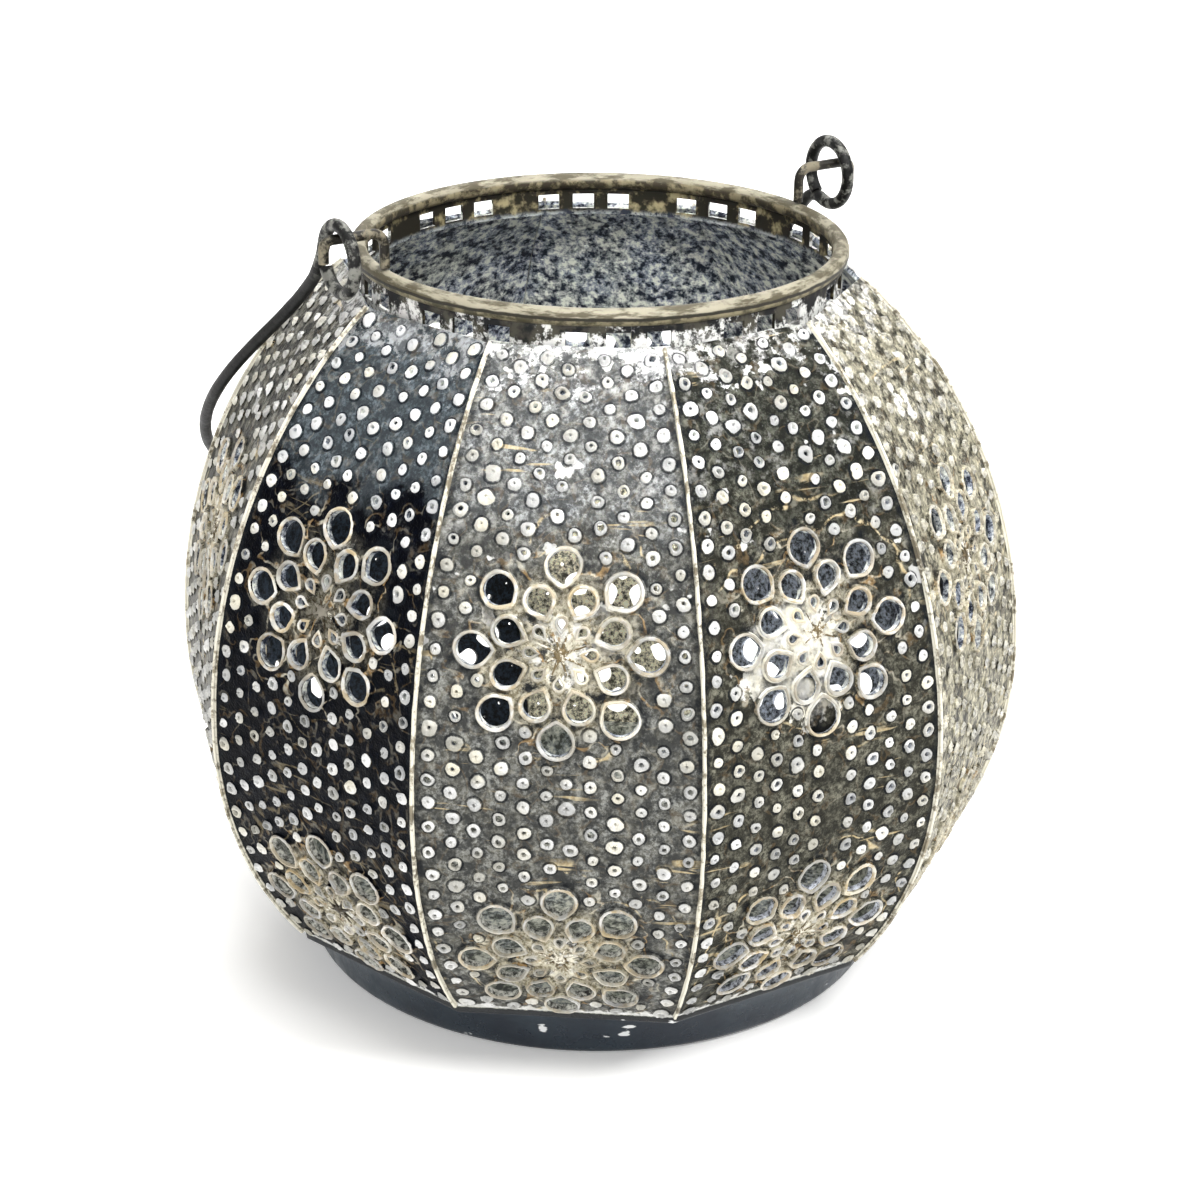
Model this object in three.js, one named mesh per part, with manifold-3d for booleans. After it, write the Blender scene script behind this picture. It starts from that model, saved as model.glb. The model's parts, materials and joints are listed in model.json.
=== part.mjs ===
// Pierced iron lantern with a swinging bail handle
// Ten punched sheet gores stand on a shallow base pan and meet a slotted collar and a rim wire.
// Millimetres, +Z up, origin at the centre of the base's underside, bail hinge along X.

import * as THREE from 'three';
import { mergeVertices } from 'three/addons/utils/BufferGeometryUtils.js';
import Module from 'manifold-3d';

const wasm = await Module();
wasm.setup();

// Driving dimensions of the globe
const goreCount = 10;
const bellyRadius = 100; // to a seam, at the widest height
const bellyHeight = 72; // above the floor
const crownRise = 116.3; // the upper ellipse's half height
const keelDrop = 95; // the lower ellipse's half height
const sheetThickness = 1;
const goreSteps = 10; // flat strips along one gore
const seamGap = 0.3; // between neighbouring gores
const clearance = 0.3; // between pieces that are soldered or rest together
const seamWireDiameter = 1.6;

// Driving dimensions of the base pan
const panHeight = 14;
const panFlare = 5.2; // the lip is this much wider than the foot
const panWall = 1.5;
const panLipWidth = 2.4;
const panFootChamfer = 1.4;

// Driving dimensions of the mouth
const mouthRadius = 54.9; // to the centre of the rim wire
const rimWireDiameter = 4.2;
const collarHeight = 6;
const collarWall = 1.2;
const collarLap = 1.6; // the collar reaches this far below the gores' top edge
const slotWidth = 5.2;
const slotHeight = 3.6;
const slotsPerGore = 4; // places for a slot
const solidPlace = 1; // the place of each gore that has no slot
const slotTopMargin = 0.9;

// Driving dimensions of the ears and the bail
const earWireDiameter = 2.5;
const earRise = 10.4; // from the rim wire's centre to the hinge axis
const earReach = 14.65; // from the rim wire's centre out to the ear's turned-down tip
const earBendRadius = 3;
const earTipRadius = 2; // the bend beyond the bail's eye
const earTipDrop = 5; // the tip ends this far below the hinge axis
const bailWireDiameter = 3;
const bailReach = 144; // from the hinge axis to the far side of the bow
const bowRadius = 74;
const eyeRadius = 7.5; // to the wire's centre
const eyeNeckRadius = 6;
const eyeTipAngle = 20; // degrees that the curl stops short of the leg
const legEyePull = 0.3; // share of the leg's run over which it leaves the eye straight
const legBowPull = 0.4; // share of the leg's run over which it meets the bow straight

// Driving dimensions of the punched pattern
// A share is a height above the belly over the crown's rise, or below it over the keel's drop.
const upperRosetteShare = 0.3225;
const lowerRosetteShare = -0.3895;
const petalCount = 8;
const petalRingRadius = 18.7;
const petalDiameter = 7.8;
const petalLipWidth = 0.8;
const petalLipHeight = 0.9;
const innerPetalRingRadius = 12.4;
const innerPetalDiameter = 6;
const lowerPetalCount = 5;
const punchDiameter = 2.6;
const punchPitch = 12;
const punchRows = [
  { share: -0.04, holes: 4 },
  { share: 0.55, holes: 4 },
  { share: 0.66, holes: 3 },
];

// Facets
const ringSegments = 40;
const seamWireSides = 5;
const rimWireSides = 6;
const handleWireSides = 8;
const petalSides = 6;
const smallHoleSides = 4;

// Limits of the arithmetic
const weldDistance = 1e-4;
const rootSteps = 60;
const leastSquare = 1e-6;

// Finishes
const blackenedIron = new THREE.MeshStandardMaterial({ color: 0x4b4a47, roughness: 0.62, metalness: 0.7 });
const washedIron = new THREE.MeshStandardMaterial({ color: 0xc9c3b0, roughness: 0.7, metalness: 0.4 });
const darkWire = new THREE.MeshStandardMaterial({ color: 0x33322f, roughness: 0.5, metalness: 0.8 });
const blueBlackIron = new THREE.MeshStandardMaterial({ color: 0x16202b, roughness: 0.35, metalness: 0.7 });

// Angles that follow from the gore count
const goreAngle = (2 * Math.PI) / goreCount;
const flatShare = Math.cos(goreAngle / 2); // mid-gore radius over seam radius
const radians = THREE.MathUtils.degToRad;

// The seam's curve is two half ellipses that join at the belly
function seamPoint(angle) {
  const halfHeight = angle < 0 ? keelDrop : crownRise;
  return new THREE.Vector2(bellyRadius * Math.cos(angle), bellyHeight + halfHeight * Math.sin(angle));
}

// The outward direction on the curve, with its radius scaled by share
function outward(angle, share) {
  const halfHeight = angle < 0 ? keelDrop : crownRise;
  const across = halfHeight * Math.cos(angle);
  const along = bellyRadius * share * Math.sin(angle);
  return new THREE.Vector2(across, along).normalize();
}

function offsetPoint(angle, share, distance) {
  const point = seamPoint(angle);
  point.x *= share;
  return point.addScaledVector(outward(angle, share), distance);
}

function heightAt(share) {
  return bellyHeight + share * (share < 0 ? keelDrop : crownRise);
}

function curveAngle(height) {
  const rise = height - bellyHeight;
  return Math.asin(rise / (rise < 0 ? keelDrop : crownRise));
}

// The place between low and high where a falling function reaches zero
function fallingRoot(fall, low, high) {
  for (let step = 0; step < rootSteps; step += 1) {
    const middle = (low + high) / 2;
    if (fall(middle) > 0) low = middle;
    else high = middle;
  }
  return (low + high) / 2;
}

// The gores end on the pan's lip below and against the collar above
const bottomAngle = curveAngle(panHeight + clearance);
const collarOuter = mouthRadius + collarWall / 2;
const topAngle = fallingRoot(
  (angle) => offsetPoint(angle, flatShare, -sheetThickness).x - collarOuter - clearance,
  0,
  Math.PI / 2,
);
const collarBottom = offsetPoint(topAngle, flatShare, -sheetThickness).y - collarLap;
const collarTop = collarBottom + collarHeight;
const rimHeight = collarTop + clearance + rimWireDiameter / 2;

const stationAngles = [];
for (let step = 0; step <= goreSteps; step += 1) {
  stationAngles.push(THREE.MathUtils.lerp(bottomAngle, topAngle, step / goreSteps));
}

// Mesh helpers
function toSolid(geometry) {
  const bare = geometry.clone();
  bare.deleteAttribute('normal');
  bare.deleteAttribute('uv');
  const merged = mergeVertices(bare, weldDistance);
  return new wasm.Manifold(new wasm.Mesh({
    numProp: 3,
    vertProperties: new Float32Array(merged.attributes.position.array),
    triVerts: new Uint32Array(merged.index.array),
  }));
}

function toGeometry(solid) {
  const mesh = solid.getMesh();
  const geometry = new THREE.BufferGeometry();
  geometry.setAttribute('position', new THREE.BufferAttribute(mesh.vertProperties, 3));
  geometry.setIndex(new THREE.BufferAttribute(mesh.triVerts, 1));
  geometry.computeVertexNormals();
  return geometry;
}

function cutAll(body, tools) {
  return tools.reduce((rest, tool) => rest.subtract(tool), body);
}

function polygon(radius, sides, turn = 0) {
  const corners = [];
  for (let corner = 0; corner < sides; corner += 1) {
    const angle = turn + (corner * 2 * Math.PI) / sides;
    corners.push(new THREE.Vector2(radius * Math.cos(angle), radius * Math.sin(angle)));
  }
  return new THREE.Shape(corners);
}

// A path with one section at each of its points
class StationPath extends THREE.Curve {
  constructor(points) {
    super();
    this.points = points;
  }

  getPoint(t, target = new THREE.Vector3()) {
    const last = this.points.length - 1;
    const place = THREE.MathUtils.clamp(t, 0, 1) * last;
    const index = Math.min(Math.floor(place), last - 1);
    return target.lerpVectors(this.points[index], this.points[index + 1], place - index);
  }

  getUtoTmapping(u) {
    return u;
  }
}

function wire(points, diameter, sides) {
  return new THREE.ExtrudeGeometry(polygon(diameter / 2, sides), {
    extrudePath: new StationPath(points),
    steps: points.length - 1,
    bevelEnabled: false,
  });
}

function arcPoints(centre, first, second, radius, start, end, steps) {
  const points = [];
  for (let step = 0; step <= steps; step += 1) {
    const angle = THREE.MathUtils.lerp(start, end, step / steps);
    points.push(centre.clone()
      .addScaledVector(first, radius * Math.cos(angle))
      .addScaledVector(second, radius * Math.sin(angle)));
  }
  return points;
}

const xAxis = new THREE.Vector3(1, 0, 0);
const yAxis = new THREE.Vector3(0, 1, 0);
const zAxis = new THREE.Vector3(0, 0, 1);

// One gore: the sheet's section drawn out sideways, trimmed at its two seams, then punched
function goreSheet() {
  const outer = stationAngles.map((angle) => offsetPoint(angle, flatShare, 0));
  const inner = stationAngles.map((angle) => offsetPoint(angle, flatShare, -sheetThickness)).reverse();
  const halfWidth = bellyRadius * Math.sin(goreAngle / 2) + sheetThickness;
  const sheet = new THREE.ExtrudeGeometry(new THREE.Shape([...outer, ...inner]), {
    depth: 2 * halfWidth,
    bevelEnabled: false,
  });
  sheet.rotateX(Math.PI / 2);
  sheet.translate(0, halfWidth, 0);
  return toSolid(sheet);
}

// The space between two seam planes, drawn back by half the seam gap
function goreWedge() {
  const apex = seamGap / 2 / Math.sin(goreAngle / 2);
  const reach = bellyRadius + apex;
  const side = (reach - apex) * Math.tan(goreAngle / 2);
  const height = bellyHeight + crownRise;
  const outline = new THREE.Shape([
    new THREE.Vector2(apex, 0),
    new THREE.Vector2(reach, -side),
    new THREE.Vector2(reach, side),
  ]);
  return toSolid(new THREE.ExtrudeGeometry(outline, { depth: height, bevelEnabled: false }));
}

// A prism square to the sheet, from a depth under its outer face to a rise over it
function prism(height, sideways, diameter, sides, turn, depth, rise) {
  const angle = curveAngle(height);
  const direction = outward(angle, flatShare);
  const place = offsetPoint(angle, flatShare, 0);
  const solid = new THREE.ExtrudeGeometry(polygon(diameter / 2, sides, turn), {
    depth: depth + rise,
    bevelEnabled: false,
  });
  solid.translate(0, 0, -depth);
  const axis = new THREE.Vector3(direction.x, 0, direction.y);
  const up = new THREE.Vector3().crossVectors(axis, yAxis);
  solid.applyMatrix4(new THREE.Matrix4().makeBasis(yAxis, up, axis));
  solid.translate(place.x, sideways, place.y);
  return toSolid(solid);
}

function punch(height, sideways, diameter, sides, turn = 0) {
  const stroke = sheetThickness + diameter;
  return prism(height, sideways, diameter, sides, turn, stroke, stroke);
}

// The rim that the punch throws up round a petal of the upper rosette
function petalLip(height, sideways, turn) {
  const diameter = petalDiameter + 2 * petalLipWidth;
  return prism(height, sideways, diameter, petalSides, turn, sheetThickness / 2, petalLipHeight);
}

// A height that lies a given way along the sheet from another
function heightAlong(height, way) {
  const angle = curveAngle(height);
  return height + way * outward(angle, flatShare).x;
}

// The places of a ring of petals: a height, a sideways place and a turn
function petalPlaces(centre, ringRadius, count, start) {
  const places = [];
  for (let petal = 0; petal < count; petal += 1) {
    const turn = start + (petal * 2 * Math.PI) / petalCount;
    const height = heightAlong(centre, ringRadius * Math.sin(turn));
    places.push({ height, sideways: ringRadius * Math.cos(turn), turn });
  }
  return places;
}

function gorePunches(petals, innerPetals) {
  const tools = [
    ...petals.map((place) => punch(place.height, place.sideways, petalDiameter, petalSides, place.turn)),
    ...innerPetals.map((place) => (
      punch(place.height, place.sideways, innerPetalDiameter, smallHoleSides, place.turn))),
  ];
  for (const row of punchRows) {
    for (let hole = 0; hole < row.holes; hole += 1) {
      const sideways = (hole - (row.holes - 1) / 2) * punchPitch;
      tools.push(punch(heightAt(row.share), sideways, punchDiameter, smallHoleSides));
    }
  }
  return tools;
}

function gore() {
  const upper = heightAt(upperRosetteShare);
  const lower = heightAt(lowerRosetteShare);
  const upperPetals = petalPlaces(upper, petalRingRadius, petalCount, 0);
  const lowerPetals = petalPlaces(lower, petalRingRadius, lowerPetalCount, 0);
  const innerPetals = petalPlaces(upper, innerPetalRingRadius, petalCount, Math.PI / petalCount);
  const lips = upperPetals.map((place) => petalLip(place.height, place.sideways, place.turn));
  const sheet = goreSheet().intersect(goreWedge());
  const raised = lips.reduce((rest, lip) => rest.add(lip), sheet);
  return toGeometry(cutAll(raised, gorePunches([...upperPetals, ...lowerPetals], innerPetals)));
}

// A wire rides on the ridge where two gores meet
function seamWire() {
  const lift = clearance + seamWireDiameter / 2;
  const points = stationAngles.map((angle) => {
    const point = offsetPoint(angle, 1, lift);
    return new THREE.Vector3(point.x, 0, point.y);
  });
  return wire(points, seamWireDiameter, seamWireSides);
}

// The base is a shallow dish whose lip carries the gores
function basePan() {
  const lip = offsetPoint(bottomAngle, flatShare, 0).x;
  const foot = lip - panFlare;
  const wallTop = lip - panLipWidth;
  const lipUnder = panHeight - panWall;
  const profile = [
    [0, 0],
    [foot - panFootChamfer, 0],
    [foot, panFootChamfer],
    [wallTop, lipUnder],
    [lip, lipUnder],
    [lip, panHeight],
    [wallTop - panWall, panHeight],
    [foot - panWall, panWall + panFootChamfer],
    [foot - panWall - panFootChamfer, panWall],
    [0, panWall],
  ].map(([x, y]) => new THREE.Vector2(x, y));
  const pan = new THREE.LatheGeometry(profile, ringSegments);
  pan.rotateX(Math.PI / 2);
  return pan;
}

// The collar is a band whose slots come in groups, with a solid place between the groups
function neckCollar() {
  const inner = mouthRadius - collarWall / 2;
  const profile = [
    [inner, collarBottom],
    [collarOuter, collarBottom],
    [collarOuter, collarTop],
    [inner, collarTop],
    [inner, collarBottom],
  ].map(([x, y]) => new THREE.Vector2(x, y));
  const pitch = goreAngle / slotsPerGore;
  const band = new THREE.LatheGeometry(profile, goreCount * slotsPerGore, pitch / 2);
  band.rotateX(Math.PI / 2);
  const slotHeightCentre = collarTop - slotTopMargin - slotHeight / 2;
  const tools = [];
  for (let place = 0; place < goreCount * slotsPerGore; place += 1) {
    if (place % slotsPerGore !== solidPlace) {
      const slot = new THREE.BoxGeometry(2 * collarWall, slotWidth, slotHeight);
      slot.translate(mouthRadius, 0, slotHeightCentre);
      slot.rotateZ(place * pitch);
      tools.push(toSolid(slot));
    }
  }
  return toGeometry(cutAll(toSolid(band), tools));
}

function rimRing() {
  const profile = [];
  for (let corner = 0; corner <= rimWireSides; corner += 1) {
    const angle = ((corner + 0.5) * 2 * Math.PI) / rimWireSides;
    profile.push(new THREE.Vector2(
      mouthRadius + (rimWireDiameter / 2) * Math.cos(angle),
      rimHeight + (rimWireDiameter / 2) * Math.sin(angle),
    ));
  }
  const ring = new THREE.LatheGeometry(profile, ringSegments);
  ring.rotateX(Math.PI / 2);
  return ring;
}

// Each ear is a hook: a leg on top of the rim wire, a bar through the bail's eye, a turned-down tip
const hingeHeight = rimHeight + earRise;
const earTip = mouthRadius + earReach;
const eyePlace = earTip - earTipRadius - bailWireDiameter / 2;

function ear() {
  const foot = rimHeight + rimWireDiameter / 2 + clearance;
  const legBend = new THREE.Vector3(mouthRadius + earBendRadius, 0, hingeHeight - earBendRadius);
  const tipBend = new THREE.Vector3(earTip - earTipRadius, 0, hingeHeight - earTipRadius);
  const bendSteps = 4;
  const points = [
    new THREE.Vector3(mouthRadius, 0, foot),
    ...arcPoints(legBend, xAxis, zAxis, earBendRadius, Math.PI, Math.PI / 2, bendSteps),
    ...arcPoints(tipBend, xAxis, zAxis, earTipRadius, Math.PI / 2, 0, bendSteps),
    new THREE.Vector3(earTip, 0, hingeHeight - earTipDrop),
  ];
  return wire(points, earWireDiameter, handleWireSides);
}

// The bail lies in its own XY plane with the hinge along X; its eyes curl square to that plane
const eyeCentre = eyeRadius - (bailWireDiameter + earWireDiameter) / 2 - clearance;
const neckCentre = eyeCentre + Math.sqrt(eyeRadius ** 2 + 2 * eyeRadius * eyeNeckRadius);
const bowCentre = bailReach - bowRadius;

function eyePoints(side) {
  const curlSteps = 14;
  const neckSteps = 2;
  const joinAngle = Math.atan2(eyeNeckRadius, neckCentre - eyeCentre);
  const centre = new THREE.Vector3(side * eyePlace, eyeCentre, 0);
  const curl = arcPoints(centre, yAxis, zAxis, eyeRadius,
    radians(eyeTipAngle), 2 * Math.PI - joinAngle, curlSteps);
  const neck = arcPoints(new THREE.Vector3(side * eyePlace, neckCentre, -eyeNeckRadius), yAxis, zAxis,
    eyeNeckRadius, Math.PI - joinAngle, Math.PI / 2, neckSteps);
  return [...curl, ...neck.slice(1)];
}

function bailPoints() {
  const legSteps = 5;
  const bowSteps = 20;
  const legRun = bowCentre - neckCentre;
  const leg = (side) => new THREE.CubicBezierCurve3(
    new THREE.Vector3(side * eyePlace, neckCentre, 0),
    new THREE.Vector3(side * eyePlace, neckCentre + legRun * legEyePull, 0),
    new THREE.Vector3(side * bowRadius, bowCentre - legRun * legBowPull, 0),
    new THREE.Vector3(side * bowRadius, bowCentre, 0),
  ).getPoints(legSteps);
  const bow = arcPoints(new THREE.Vector3(0, bowCentre, 0), xAxis, yAxis, bowRadius,
    Math.PI, 0, bowSteps);
  return [
    ...eyePoints(-1),
    ...leg(-1).slice(1),
    ...bow.slice(1, -1),
    ...leg(1).reverse(),
    ...eyePoints(1).reverse().slice(1),
  ];
}

// The bail falls until its wire would meet the seam wires of the globe
function restAngle(points) {
  const reach = 2 * clearance + seamWireDiameter + bailWireDiameter / 2;
  const room = (fall) => Math.min(...points.map((point) => {
    const height = hingeHeight - point.y * Math.sin(fall) + point.z * Math.cos(fall);
    const depth = point.y * Math.cos(fall) + point.z * Math.sin(fall);
    const rise = height - bellyHeight;
    const halfHeight = (rise < 0 ? keelDrop : crownRise) + reach;
    return Math.hypot(point.x, depth) / (bellyRadius + reach) / Math.sqrt(
      Math.max(leastSquare, 1 - (rise / halfHeight) ** 2),
    ) - 1;
  }));
  return fallingRoot(room, 0, Math.PI / 2);
}

// Assembly
const lantern = new THREE.Group();

function add(name, geometry, material, parent = lantern) {
  const mesh = new THREE.Mesh(geometry, material);
  mesh.name = name;
  parent.add(mesh);
  return mesh;
}

const goreGeometry = gore();
const seamGeometry = seamWire();
for (let index = 0; index < goreCount; index += 1) {
  const label = String(index + 1).padStart(2, '0');
  add(`panel_${label}`, goreGeometry, blackenedIron).rotation.z = (index + 0.5) * goreAngle;
  add(`seam_wire_${label}`, seamGeometry, washedIron).rotation.z = index * goreAngle;
}

add('base_pan', basePan(), blueBlackIron);
add('neck_band', neckCollar(), blackenedIron);
add('rim_ring', rimRing(), washedIron);
add('ear_right', ear(), darkWire);
add('ear_left', ear(), darkWire).rotation.z = Math.PI;

const bail = new THREE.Group();
const bailRoute = bailPoints();
const fall = restAngle(bailRoute);
bail.position.z = hingeHeight;
bail.rotation.x = -fall;
lantern.add(bail);
add('bail_handle', wire(bailRoute, bailWireDiameter, handleWireSides), darkWire, bail);

console.log(`hinge height ${hingeHeight.toFixed(3)} mm`);
console.log(`bail rests ${THREE.MathUtils.radToDeg(fall).toFixed(3)} degrees below level`);

export default lantern;
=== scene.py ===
import json
import math
import random

import bpy
import numpy as np
from mathutils import Matrix, Vector
from mathutils.geometry import delaunay_2d_cdt


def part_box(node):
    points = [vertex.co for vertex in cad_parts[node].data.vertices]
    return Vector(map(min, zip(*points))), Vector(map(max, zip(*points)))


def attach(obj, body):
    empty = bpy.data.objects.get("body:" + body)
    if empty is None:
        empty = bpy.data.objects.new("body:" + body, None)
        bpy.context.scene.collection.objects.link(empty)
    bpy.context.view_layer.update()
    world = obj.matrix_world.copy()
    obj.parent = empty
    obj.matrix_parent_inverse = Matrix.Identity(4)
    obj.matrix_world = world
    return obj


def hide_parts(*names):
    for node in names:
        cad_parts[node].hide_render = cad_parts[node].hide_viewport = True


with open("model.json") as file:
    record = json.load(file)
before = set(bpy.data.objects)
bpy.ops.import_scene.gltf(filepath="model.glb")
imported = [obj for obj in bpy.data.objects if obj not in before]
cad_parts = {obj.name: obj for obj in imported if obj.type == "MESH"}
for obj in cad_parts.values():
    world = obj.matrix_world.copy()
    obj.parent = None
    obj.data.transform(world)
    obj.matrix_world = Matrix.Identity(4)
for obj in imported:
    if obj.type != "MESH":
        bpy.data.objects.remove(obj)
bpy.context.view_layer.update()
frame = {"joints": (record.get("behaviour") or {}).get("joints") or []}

MM = 0.001
BODY = "lantern_body"
BAIL = "bail"
X_AXIS, Y_AXIS, Z_AXIS = Vector((1, 0, 0)), Vector((0, 1, 0)), Vector((0, 0, 1))

# Globe, in millimetres, as the frame has it
GORES = 10
DARK_GORE = 5  # the one whose lower half is nearly black, with few creases
BELLY_RADIUS = 100.0
BELLY_HEIGHT = 72.0
CROWN_RISE = 116.3
KEEL_DROP = 95.0
SHEET = 1.0
SEAM_GAP = 0.3
CLEARANCE = 0.3
SEAM_WIRE = 1.6
SEAM_LIFT = 0.55
SEAM_SWAY = 0.08
SOLDER_RADIUS = 0.4
SOLDER_SWAY = 0.05
SOLDER_DEPTH = 0.05  # of its middle below the seam's curve

# Thickness of the drawn wires, as a share of the frame's faceted ones
WIRE_SHARE = 0.93
SEAM_SHARE = 0.48
BAIL_SHARE = 0.97

# Pan, mouth, ears and bail, in millimetres
PAN_HEIGHT = 14.0
PAN_FLARE = 5.2
PAN_WALL = 1.5
PAN_LIP = 2.4
LIP_RISE = 0.2  # of the drawn lip above the frame's
EDGE_DROP = 0.1  # of the gores' inner lower edges, down to the lip
MOUTH_RADIUS = 54.9
RIM_WIRE = 4.2
COLLAR_WALL = 1.2
COLLAR_INSET = 0.2  # of the drawn band's inner face from the mouth's radius
SLOT_WIDTH = 5.2
SLOT_HEIGHT = 3.6
SLOT_TOP_MARGIN = 0.9
SLOTS_PER_GORE = 4  # places, of which one stays solid
SOLID_PLACE = 1
EAR_WIRE = 2.5
EAR_REACH = 14.65
EAR_BEND = 3.0
EAR_TIP_RADIUS = 2.0
EAR_TIP_DROP = 5.0
BAIL_WIRE = 3.0
BAIL_REACH = 144.0
BOW_RADIUS = 74.0
EYE_RADIUS = 7.5
EYE_NECK = 6.0
EYE_TIP = math.radians(16)
EYE_CLOSE = math.radians(6)
EYE_HANG = math.radians(52)
EYE_LEAVE = math.radians(62)
EYE_SWAY = 11.0
LEFT_PULL = 18.0
RIGHT_PULL = 16.0
BOW_PULL = 0.4  # share of a leg's run
PATINA_REACH = 9.0  # from the hinge along the legs, full up to here
PATINA_FADE = 8.0

GORE_ANGLE = 2 * math.pi / GORES
FLAT = math.cos(GORE_ANGLE / 2)  # a gore's middle lies this share of the radius out
UV_UNIT = 0.01  # of the gores' flat coordinates, per millimetre

# Places that the frame gives
HINGE = Vector(frame["joints"][0]["pos_m"]) / MM
RIM_HEIGHT = (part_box("rim_ring")[0].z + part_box("rim_ring")[1].z) / 2 / MM
COLLAR_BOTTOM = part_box("neck_band")[0].z / MM
COLLAR_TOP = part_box("neck_band")[1].z / MM
BAIL_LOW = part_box("bail_handle")[0].z / MM


# The seam's curve is two half ellipses that join at the belly
def half_height(angle):
    return KEEL_DROP if angle < 0 else CROWN_RISE


def outward(angle, share):
    across = half_height(angle) * math.cos(angle)
    along = BELLY_RADIUS * share * math.sin(angle)
    return Vector((across, along)).normalized()


def on_curve(angle, share, distance=0.0):
    """Radius and height at the curve's angle, at a distance outside it."""
    radius = BELLY_RADIUS * share * math.cos(angle)
    height = BELLY_HEIGHT + half_height(angle) * math.sin(angle)
    return Vector((radius, height)) + outward(angle, share) * distance


def curve_angle(height):
    rise = height - BELLY_HEIGHT
    return math.asin(rise / half_height(rise))


def falling_root(fall, low, high):
    for _ in range(50):
        middle = (low + high) / 2
        if fall(middle) > 0:
            low = middle
        else:
            high = middle
    return (low + high) / 2


COLLAR_OUTER = MOUTH_RADIUS + COLLAR_WALL / 2
COLLAR_INNER = MOUTH_RADIUS - COLLAR_INSET
BOTTOM_ANGLE = curve_angle(PAN_HEIGHT + CLEARANCE)
TOP_ANGLE = falling_root(lambda a: on_curve(a, FLAT, -SHEET).x - COLLAR_OUTER - CLEARANCE, 0, math.pi / 2)

# Way along the middle of a gore, from its bottom edge, against the curve's angle
STATIONS = np.linspace(BOTTOM_ANGLE, TOP_ANGLE, 400)
STATION_POINTS = np.array([on_curve(a, FLAT) for a in STATIONS])
WAYS = np.concatenate([[0], np.cumsum(np.linalg.norm(np.diff(STATION_POINTS, axis=0), axis=1))])
GORE_LENGTH = float(WAYS[-1])


def angle_at(way):
    return float(np.interp(way, WAYS, STATIONS))


def way_at_height(height):
    return float(np.interp(height, STATION_POINTS[:, 1], WAYS))


def half_width(way, depth=0.0):
    radius = on_curve(angle_at(way), FLAT, -depth).x
    return radius * math.tan(GORE_ANGLE / 2) - SEAM_GAP / 2 / FLAT


def turned(x, y, z, turn):
    cosine, sine = math.cos(turn), math.sin(turn)
    return Vector((x * cosine - y * sine, x * sine + y * cosine, z)) * MM


# Mesh helpers
def make_object(name, vertices, faces, body, materials, node=None, smooth=30):
    mesh = bpy.data.meshes.new(name)
    mesh.from_pydata([tuple(v) for v in vertices], [], faces)
    mesh.validate()
    mesh.update()
    for material in materials:
        mesh.materials.append(material)
    mesh.polygons.foreach_set("use_smooth", [True] * len(mesh.polygons))
    mesh.set_sharp_from_angle(angle=math.radians(smooth))
    obj = bpy.data.objects.new(name, mesh)
    bpy.context.scene.collection.objects.link(obj)
    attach(obj, body)
    if node:
        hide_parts(node)
    return obj


def float_attribute(obj, name, values):
    attribute = obj.data.attributes.new(name, "FLOAT", "POINT")
    attribute.data.foreach_set("value", list(values))


def color_attribute(obj, name, colors):
    attribute = obj.data.attributes.new(name, "FLOAT_COLOR", "POINT")
    attribute.data.foreach_set("color", [c for color in colors for c in (*color, 1.0)])


def tube(points, radius, sides, closed=False, wobble=0.0, seed=1, taper=1.0):
    """Vertices and faces of a round wire along the points; its far end is taper times as thick."""
    rng = random.Random(seed)
    count = len(points)
    tangents = []
    for i in range(count):
        before = points[i - 1] if (i or closed) else points[i]
        after = points[(i + 1) % count] if (closed or i < count - 1) else points[i]
        tangents.append((after - before).normalized())
    start = Z_AXIS if abs(tangents[0].z) < 0.9 else X_AXIS
    normal = (start - tangents[0] * start.dot(tangents[0])).normalized()
    vertices = []
    thick = [1 + wobble * rng.uniform(-1, 1) for _ in range(count)]
    for i in range(count):
        normal = (normal - tangents[i] * normal.dot(tangents[i])).normalized()
        side = tangents[i].cross(normal)
        width = radius * (thick[i - 1] + 2 * thick[i] + thick[(i + 1) % count]) / 4
        width *= 1 + (taper - 1) * i / count
        for j in range(sides):
            angle = 2 * math.pi * j / sides
            vertices.append(points[i] + (normal * math.cos(angle) + side * math.sin(angle)) * width)
    faces = []
    rings = count if closed else count - 1
    for i in range(rings):
        a, b = i * sides, ((i + 1) % count) * sides
        for j in range(sides):
            k = (j + 1) % sides
            faces.append((a + j, a + k, b + k, b + j))
    if not closed:
        faces.append(tuple(reversed(range(sides))))
        faces.append(tuple(range((count - 1) * sides, count * sides)))
    return vertices, faces


def strip(low, high):
    """Quads between two closed loops of as many vertices."""
    return list(zip(low, low[1:] + low[:1], high[1:] + high[:1], high))


def joined(parts):
    """Vertices and faces of several meshes as those of one."""
    vertices, faces = [], []
    for more, polygons in parts:
        faces += [tuple(v + len(vertices) for v in polygon) for polygon in polygons]
        vertices += more
    return vertices, faces


def lathe(profile, segments):
    """A closed outline of (radius, height) turned about Z; points on the axis are shared."""
    vertices, rings = [], []
    for radius, height in profile:
        if radius < 1e-6:
            rings.append([len(vertices)] * segments)
            vertices.append(Vector((0, 0, height)) * MM)
        else:
            rings.append(list(range(len(vertices), len(vertices) + segments)))
            vertices += [turned(radius, 0, height, 2 * math.pi * s / segments) for s in range(segments)]
    faces = []
    for low, high in zip(rings, rings[1:] + rings[:1]):
        for quad in strip(low, high):
            corners = tuple(dict.fromkeys(quad))
            if len(corners) > 2:
                faces.append(corners)
    return vertices, faces


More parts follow.
